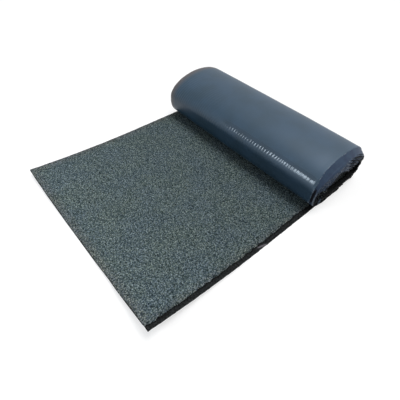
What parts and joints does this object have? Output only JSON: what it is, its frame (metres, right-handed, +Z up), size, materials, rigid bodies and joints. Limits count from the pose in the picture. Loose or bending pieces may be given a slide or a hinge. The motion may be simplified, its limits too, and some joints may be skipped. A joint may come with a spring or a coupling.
{
  "type": "roll of roofing felt",
  "caption": "Partly unrolled roll of mineral-surfaced roofing felt: one sheet with its first metre flat and the rest in a loose, slumped roll.",
  "frame": {"origin": "on the floor, under the middle of the bounding box", "axes": "+X from the sheet's free end to the roll, +Y across the sheet from the selvedge edge to the far edge, along the roll's axis, +Z up"},
  "size_m": [1.2374, 1.01, 0.2198],
  "materials": {
    "mineral_felt": "blue-grey mineral granules on the top face, smooth dull blue-grey film on the underside, black bitumen on the selvedge and at the cut edges"
  },
  "bodies": {
    "root": {"felt_roll": "mineral_felt"}
  },
  "joints": []
}
